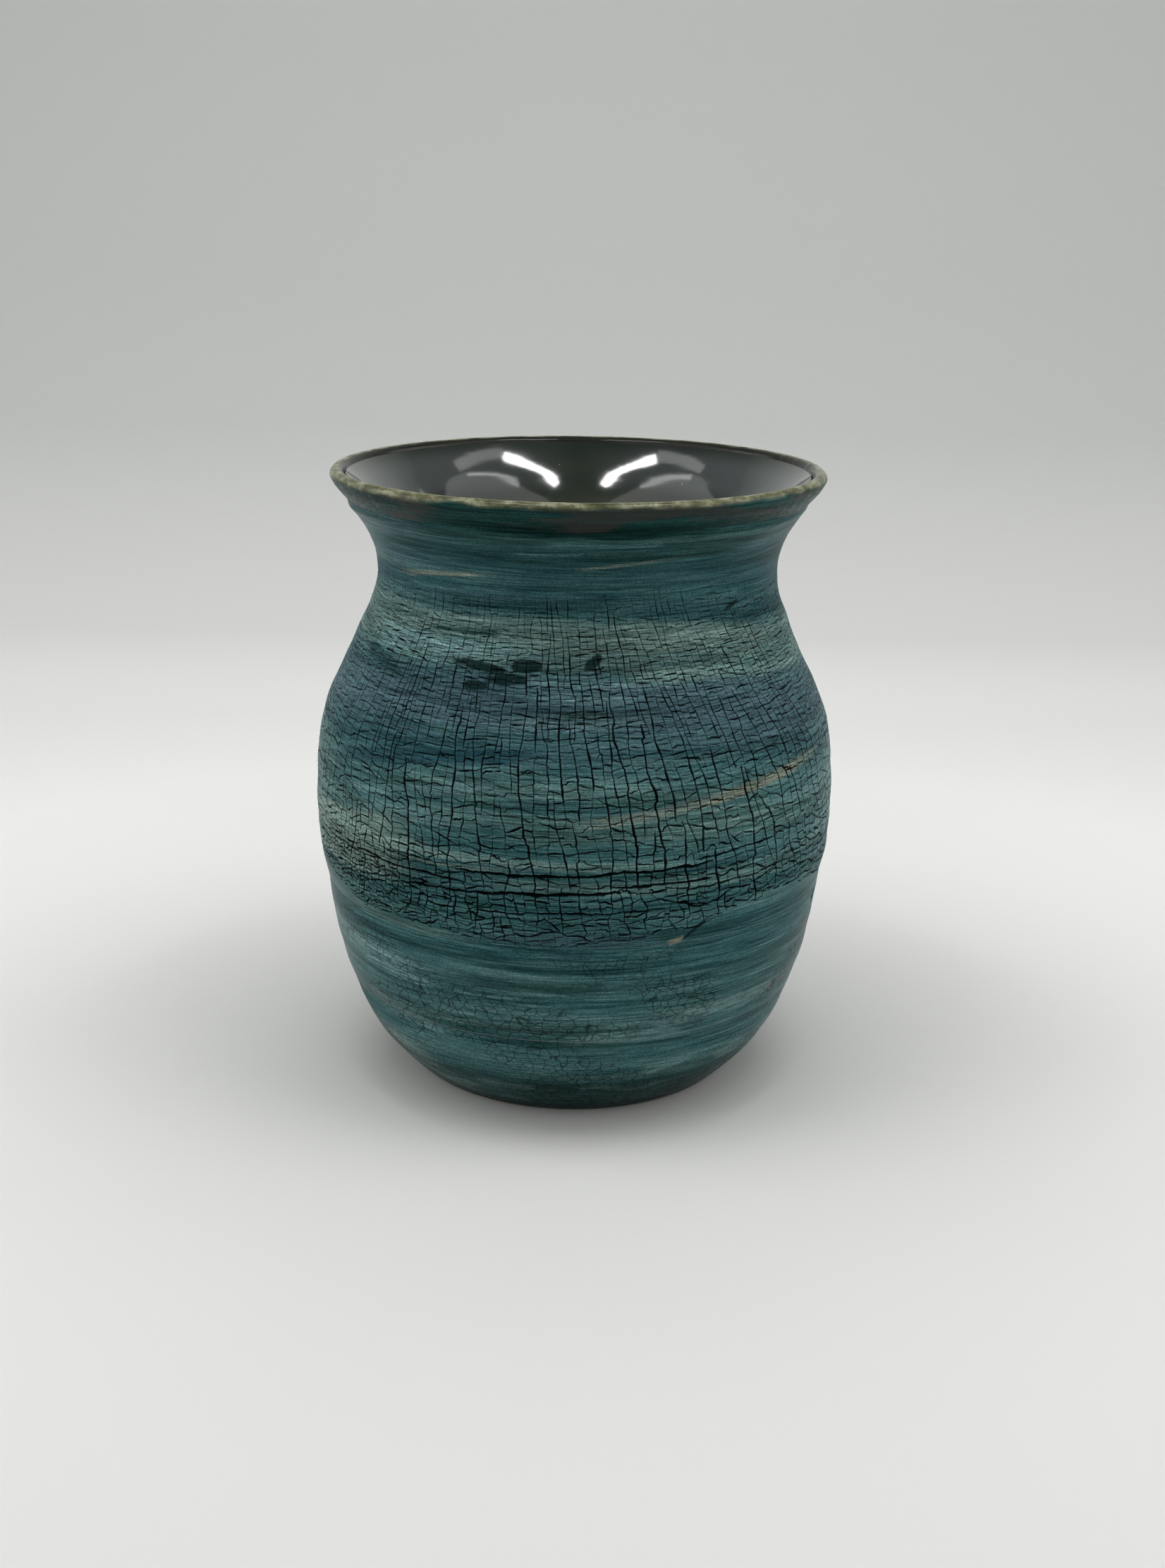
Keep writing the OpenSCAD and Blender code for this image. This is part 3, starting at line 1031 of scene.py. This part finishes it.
def brushed_colour(g):
    """The layered pigments: every layer is broken up by fine lines left by the bristles."""
    fine = g.noise(g.place((0.022, 0.022, 1.0)), 3.2, 4, 0.62)
    broad = g.noise(g.place((0.014, 0.014, 0.30), (3, 1, 7)), 1.0, 4, 0.62, 0.3)
    hair = g.noise(g.place((0.03, 0.03, 1.0), (9, 4, 2)), 7.5, 3, 0.6)
    grain = g.noise(g.place(), 2.4, 4, 0.65)
    mixed = g.math("ADD", g.times(fine, 0.58), g.times(broad, 0.42))
    colour = g.ramp(mixed, TEAL)
    breakup = g.ramp(hair, [(0.36, 0.42), (0.5, 0.88), (0.62, 1.25)])
    shade = g.ramp(mixed, [(0.36, 0.45), (0.44, 0.75), (0.5, 1.0), (0.57, 1.3), (0.66, 1.7)])
    navy, slate, sage = g.channels("cool")
    tan, moss, mint = g.channels("warm")
    layers = ((navy, NAVY), (slate, SLATE), (sage, SAGE), (mint, MINT), (tan, TAN), (moss, MOSS))
    for share, base in layers:
        tone = g.mix(1.0, base, shade, "MULTIPLY")
        colour = g.mix(g.times(share, breakup, True), colour, tone)
    dusty = g.ramp(grain, [(0.36, 0.72), (0.5, 1.0), (0.64, 1.30)])
    bristle = g.ramp(hair, [(0.34, 0.55), (0.46, 0.95), (0.58, 1.10), (0.68, 1.5)])
    colour = g.mix(1.0, colour, dusty, "MULTIPLY")
    colour = g.mix(1.0, colour, bristle, "MULTIPLY")
    return colour, hair, grain


def brushed_material(name, sheen):
    """Brushed pigments under a thin glaze, which is dry at the top and glossy at the foot."""
    g = Graph(name)
    colour, hair, grain = brushed_colour(g)
    wet = g.value("wet")
    colour = g.mix(g.times(wet, 0.9), colour, WET)
    speck = g.ramp(g.cells(g.place(), 0.42), [(0.0, 1.0), (0.08, 0.0)])
    chosen = g.ramp(g.noise(g.place((1, 1, 1), (5, 5, 5)), 0.5, 1), [(0.56, 0.0), (0.62, 1.0)])
    colour = g.mix(g.times(g.times(speck, chosen), 0.4), colour, SPECK)
    # painted highlight: the colour beside the cracks is made paler, where curled plate edges would catch
    # light
    painted_edge_highlight = g.value("painted_edge_highlight")
    pale = g.mix(1.0, colour, (2.0, 1.8, 1.75), "MULTIPLY")
    colour = g.mix(g.times(painted_edge_highlight, 0.55, True), colour, pale)
    crack = g.value("crack")
    colour = g.mix(g.ramp(crack, [(0.18, 0.0), (0.66, 0.98)]), colour, CRACK)
    gloss = g.value("gloss")
    plates = g.cells(g.place((1, 1, 1.3)), 0.42, "DISTANCE_TO_EDGE")
    web = g.ramp(plates, [(0.020, 1.0), (0.060, 0.0)])
    patches = g.noise(g.place((0.4, 0.4, 0.8), (4, 2, 6)), 0.075, 2)
    where = g.ramp(patches, [(0.45, 0.0), (0.55, 1.0)])
    crazed = g.times(g.times(web, where), g.times(gloss, 4.0, True))
    colour = g.mix(crazed, colour, g.mix(1.0, colour, (0.30, 0.30, 0.30), "MULTIPLY"))
    g.set("Base Color", colour)
    rough = g.scaled(gloss, -0.30, 0.56)
    rough = g.math("ADD", rough, g.times(g.math("SUBTRACT", grain, 0.5), 0.5))
    rough = g.math("SUBTRACT", rough, g.times(wet, 0.25), True)
    rough = g.math("ADD", rough, g.times(crack, 0.4), True)
    g.set("Roughness", rough)
    lines = g.bump(hair, 0.00008, 0.9)
    lines = g.bump(grain, 0.00005, 0.6, lines)
    g.set("Normal", lines)
    g.set("Coat Weight", g.times(gloss, 0.06))
    g.set("Coat Roughness", 0.25)
    g.set("Specular IOR Level", 0.03)
    g.set("Sheen Weight", sheen)
    g.set("Sheen Roughness", 0.25)
    return g.material


LINER_DARK = (0.012, 0.013, 0.010)
OLIVE = [
    (0.34, (0.040, 0.042, 0.016)),
    (0.50, (0.110, 0.115, 0.062)),
    (0.66, (0.260, 0.265, 0.175)),
]
LINER = [
    (0.32, (0.005, 0.009, 0.006)),
    (0.55, (0.013, 0.018, 0.012)),
    (0.75, (0.030, 0.032, 0.021)),
]
CLAY = [
    (0.30, (0.14, 0.095, 0.060)),
    (0.55, (0.27, 0.195, 0.125)),
    (0.78, (0.40, 0.31, 0.21)),
]


def rim_material():
    """Olive glaze that breaks thin over the lip, dark inside, brushed colours on the skirt."""
    g = Graph("olive_rim_glaze")
    brushed, hair, _ = brushed_colour(g)
    tone = g.noise(g.place((0.25, 0.25, 0.7)), 1.0, 4, 0.62)
    colour = g.ramp(tone, OLIVE)
    grain = g.noise(g.place(), 1.6, 4, 0.65)
    colour = g.mix(g.ramp(grain, [(0.56, 0.0), (0.68, 0.75)]), colour, (0.050, 0.042, 0.020))
    mauve = g.noise(g.place((0.05, 0.05, 0.4), (2, 8, 1)), 1.0, 3, 0.5)
    mauve = g.ramp(mauve, [(0.54, 0.0), (0.62, 0.7)])
    lower = g.mix(1.0, brushed, (0.30, 0.55, 0.50), "MULTIPLY")
    lower = g.mix(mauve, lower, (0.040, 0.037, 0.033))
    colour = g.mix(g.value("skirt"), colour, lower)
    inner = g.value("inner")
    colour = g.mix(inner, colour, LINER_DARK)
    g.set("Base Color", colour)
    rough = g.ramp(grain, [(0.35, 0.22), (0.65, 0.50)])
    g.set("Roughness", g.mix(inner, rough, (0.10, 0.10, 0.10)))
    g.set("Normal", g.bump(grain, 0.00010, 0.5, g.bump(hair, 0.00004, 0.6)))
    lip = g.math("SUBTRACT", 1.0, g.value("skirt"))
    g.set("Coat Weight", g.times(lip, 0.45))
    g.set("Coat Roughness", 0.12)
    g.set("Specular IOR Level", 0.05)
    return g.material


def liner_material():
    g = Graph("dark_liner_glaze")
    slow = g.noise(g.place((0.02, 0.02, 0.08)), 1.0, 3, 0.5)
    colour = g.ramp(slow, LINER)
    speck = g.ramp(g.cells(g.place(), 0.16), [(0.0, 1.0), (0.05, 0.0)])
    # painted reflection: the flare attribute lightens the liner's left and right flanks near the lip to
    # this pale grey
    colour = g.mix(g.times(g.value("flare"), 0.75), colour, (0.070, 0.080, 0.082))
    colour = g.mix(g.times(speck, 0.6), colour, (0.30, 0.25, 0.17))
    g.set("Base Color", colour)
    g.set("Roughness", g.ramp(slow, [(0.3, 0.06), (0.7, 0.12)]))
    ripple = g.noise(g.place((0.5, 0.5, 1.0)), 0.35, 2, 0.5)
    g.set("Normal", g.bump(ripple, 0.00008, 0.35))
    g.set("Coat Weight", 1.0)
    g.set("Coat Roughness", 0.06)
    g.set("Coat IOR", 1.6)
    return g.material


def clay_material():
    g = Graph("fired_clay")
    grit = g.noise(g.place(), 1.8, 5, 0.65)
    colour = g.ramp(grit, CLAY)
    iron = g.ramp(g.cells(g.place(), 0.55), [(0.0, 1.0), (0.10, 0.0)])
    colour = g.mix(g.times(iron, 0.7), colour, (0.05, 0.03, 0.02))
    g.set("Base Color", colour)
    g.set("Roughness", g.ramp(grit, [(0.3, 0.75), (0.7, 0.95)]))
    g.set("Normal", g.bump(grit, 0.00015, 0.7))
    return g.material


def dress(piece, material):
    piece.data.materials.clear()
    piece.data.materials.append(material)


# ---- stage, lights and camera

CAMERA_BACK = 448.4
CAMERA_RIGHT = 2.0
CAMERA_HIGH = 193.9
CAMERA_DOWN = 16.35
CAMERA_ROLL = 0.775
LENS = 48.56


def make_camera():
    data = bpy.data.cameras.new("camera")
    data.lens = LENS
    data.sensor_width = 36
    data.clip_start = 0.01
    data.dof.use_dof = False
    camera = placed("camera", data)
    camera.location = Vector((CAMERA_RIGHT, -CAMERA_BACK, CAMERA_HIGH)) * MM
    camera.rotation_euler = (math.radians(90 - CAMERA_DOWN), 0, 0)
    camera.rotation_euler.rotate_axis("Z", math.radians(CAMERA_ROLL))
    bpy.context.scene.camera = camera


# The card's colour by height, darker up the sweep as painted shade, and the distance over which its ramps
# run
CARD_PAINTED_SHADE = [
    (0.00, (0.82, 0.82, 0.80)),
    (0.04, (0.67, 0.67, 0.66)),
    (0.22, (0.51, 0.52, 0.505)),
    (0.60, (0.48, 0.49, 0.475)),
]
CARD_REACH = 400


def sweep_material():
    """Pale card that fades to nothing far away. Its grey up the sweep is painted shade, and its grey near
    the vase is a painted shadow.
    """
    g = Graph("pale_sweep")
    where = g.add("ShaderNodeTexCoord", {}, out=3)
    split = g.tree.nodes.new("ShaderNodeSeparateXYZ")
    g.put(split.inputs[0], where)
    rise = g.math("DIVIDE", split.outputs[2], CARD_REACH * MM)
    # painted shade: the card darkens with height up the sweep
    shade = g.ramp(rise, CARD_PAINTED_SHADE)
    across = [g.times(split.outputs[k], split.outputs[k]) for k in (0, 1)]
    away = g.math("DIVIDE", g.math("SQRT", g.math("ADD", *across)), CARD_REACH * MM)
    # painted shadow: the card is greyer within about 240 mm of the vase's axis
    near = g.ramp(away, [(0.15, 0.77), (0.28, 0.84), (0.42, 0.92), (0.60, 1.0)])
    shade = g.mix(1.0, shade, near, "MULTIPLY")
    fade = g.ramp(g.times(away, 0.4), [(0.56, 0.0), (0.85, 1.0)])
    clear = g.tree.nodes.new("ShaderNodeBsdfTransparent")
    ends = g.tree.nodes.new("ShaderNodeMixShader")
    g.put(ends.inputs[0], fade)
    g.tree.links.new(g.shader.outputs[0], ends.inputs[1])
    g.tree.links.new(clear.outputs[0], ends.inputs[2])
    g.tree.links.new(ends.outputs[0], g.tree.nodes["Material Output"].inputs[0])
    g.set("Base Color", shade)
    g.set("Roughness", 0.8)
    g.set("Specular IOR Level", 0.1)
    return g.material


def make_stage():
    """A pale sheet that sweeps up behind the vase."""
    wide, front, back, bend, tall = 1800.0, -1200.0, 300.0, 150.0, 1100.0
    arc = [math.radians(a) for a in range(0, 91, 6)]
    curve = [(back + bend * math.sin(a), bend - bend * math.cos(a)) for a in arc]
    line = [(front, 0.0), *curve, (back + bend, tall)]
    verts = [(x * MM, y * MM, z * MM) for y, z in line for x in (-wide, wide)]
    faces = [(2 * k, 2 * k + 1, 2 * k + 3, 2 * k + 2) for k in range(len(line) - 1)]
    mesh = bpy.data.meshes.new("sweep")
    mesh.from_pydata(verts, [], faces)
    for polygon in mesh.polygons:
        polygon.use_smooth = True
    sweep = placed("sweep", mesh)
    dress(sweep, sweep_material())


def area_light(name, place, aim, size, glow, mirrored=False, spin=0.0, shape="RECTANGLE"):
    """A soft panel of a given size in millimetres that shines with radiance glow. Glossy
    surfaces show it only if it is mirrored."""
    data = bpy.data.lights.new(name, "AREA")
    data.shape = shape
    data.size, data.size_y = size[0] * MM, size[1] * MM
    data.energy = glow * math.pi * data.size * data.size_y * (math.pi / 4 if shape == "DISK" else 1)
    light = placed(name, data)
    light.location = Vector(place) * MM
    light.rotation_euler = (Vector(aim) - Vector(place)).to_track_quat("-Z", "Y").to_euler()
    light.rotation_euler.rotate_axis("Z", math.radians(spin))
    light.visible_glossy = mirrored
    light.visible_camera = False


# Lights over each side that the liner mirrors: name, place, size, glow, spin, shape
OVERHEAD = [
    ("strip", 93, -57, 440, (20, 134), 17.0, -33.5, "RECTANGLE"),
    ("smear", 178, 45, 439, (26, 130), 1.1, -52, "RECTANGLE"),
    ("dome", 587, -275, 440, (970, 970), 0.55, 0.0, "DISK"),
    ("arc", 192, -14, 439, (12, 150), 2.2, -36, "RECTANGLE"),
]


def make_lights():
    area_light("ceiling", (0, 60, 460), (0, 60, 0), (460, 460), 0.9)
    for side in (-1, 1):
        for name, x, y, z, size, glow, spin, shape in OVERHEAD:
            place = (side * x, y, z)
            area_light(name, place, (side * x, y, 0), size, glow, True, side * spin, shape)
        area_light("wall", (side * 700, 0, 320), (0, 0, 80), (900, 600), 1.15, True)
    area_light("back_wash", (0, -60, 430), (0, 460, 60), (400, 200), 3.3)
    area_light("front", (0, -1500, 900), (0, 0, 60), (1400, 800), 0.7)
    world = bpy.data.worlds.new("studio")
    bpy.context.scene.world = world
    world.use_nodes = True
    tree = world.node_tree
    dim = tree.nodes["Background"]
    dim.inputs[0].default_value = (0.95, 1.0, 0.99, 1)
    dim.inputs[1].default_value = 0.10
    pale = tree.nodes.new("ShaderNodeBackground")
    pale.inputs[0].default_value = (0.98, 1.0, 0.98, 1)
    pale.inputs[1].default_value = 0.55
    seen = tree.nodes.new("ShaderNodeMixShader")
    tree.links.new(tree.nodes.new("ShaderNodeLightPath").outputs["Is Camera Ray"], seen.inputs[0])
    tree.links.new(dim.outputs[0], seen.inputs[1])
    tree.links.new(pale.outputs[0], seen.inputs[2])
    tree.links.new(seen.outputs[0], tree.nodes["World Output"].inputs[0])


make_camera()
make_stage()
make_lights()
bpy.context.scene.view_settings.view_transform = "Standard"

clay = make_clay()
liner = make_liner()
rim = make_rim()
wall = Wall()
top_row = len(wall.line) - 1
slip = wall.piece("crackle_slip_coat", "crackle_slip", wall.slip_row, top_row, 1)
brushed = wall.piece("brushed_glaze_coat", "brushed_glaze", wall.foot_row, wall.slip_row, 2)
foot = wall.piece("foot_glaze_coat", "foot_glaze", 0, wall.foot_row, 2)

dress(clay, clay_material())
dress(liner, liner_material())
dress(rim, rim_material())
dress(slip, brushed_material("crackled_slip", 0.45))
dress(brushed, brushed_material("brushed_glaze", 0.35))
dress(foot, brushed_material("foot_glaze", 0.0))

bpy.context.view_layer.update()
